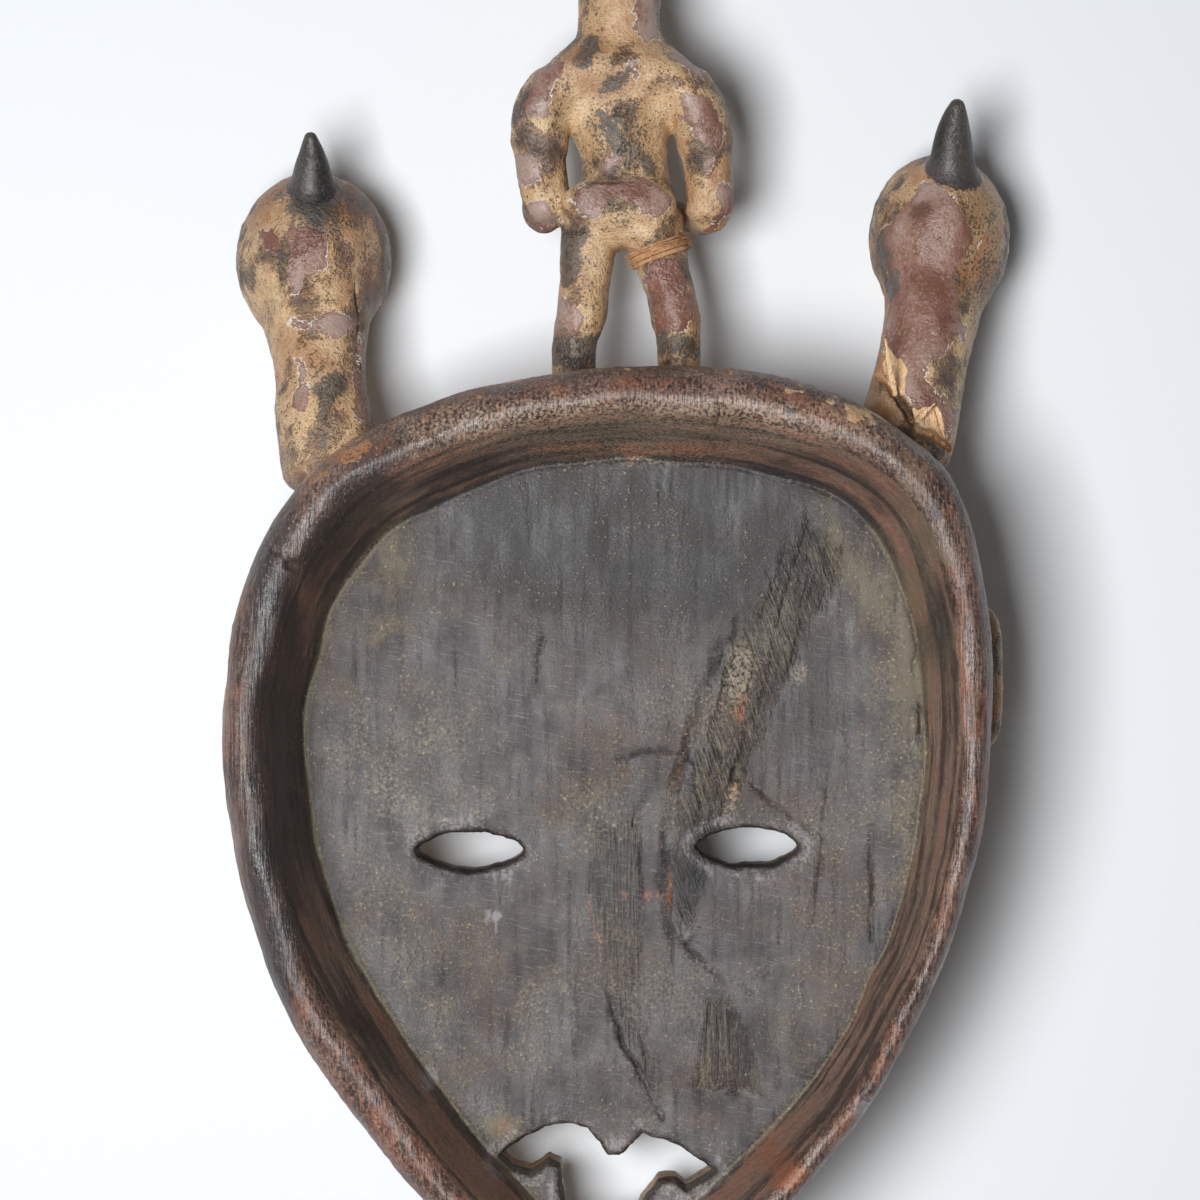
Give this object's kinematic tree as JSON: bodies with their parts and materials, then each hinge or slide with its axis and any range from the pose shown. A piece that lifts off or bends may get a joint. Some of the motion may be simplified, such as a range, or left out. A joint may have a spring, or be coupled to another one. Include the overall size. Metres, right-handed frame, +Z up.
{
  "type": "carved wooden face mask",
  "caption": "Carved wooden face mask lying on its face, hollow behind, with eye slots, a toothed mouth and a crest of a standing figure between birds.",
  "frame": {"origin": "middle of the footprint, on the surface that the mask lies on", "axes": "+Y from the chin to the crest, +Z up out of the hollow back, away from the surface, +X to the viewer's right when looking down with the crest up"},
  "size_m": [0.2383, 0.4441, 0.096],
  "materials": {
    "painted_wood": "dark worn wood in the hollow, ochre, mauve-red and black flaked paint on the crest, matt to dull satin",
    "thread": "matt twisted thread"
  },
  "bodies": {
    "root": {"mask": "painted_wood", "thigh_thread": "thread"}
  },
  "joints": []
}
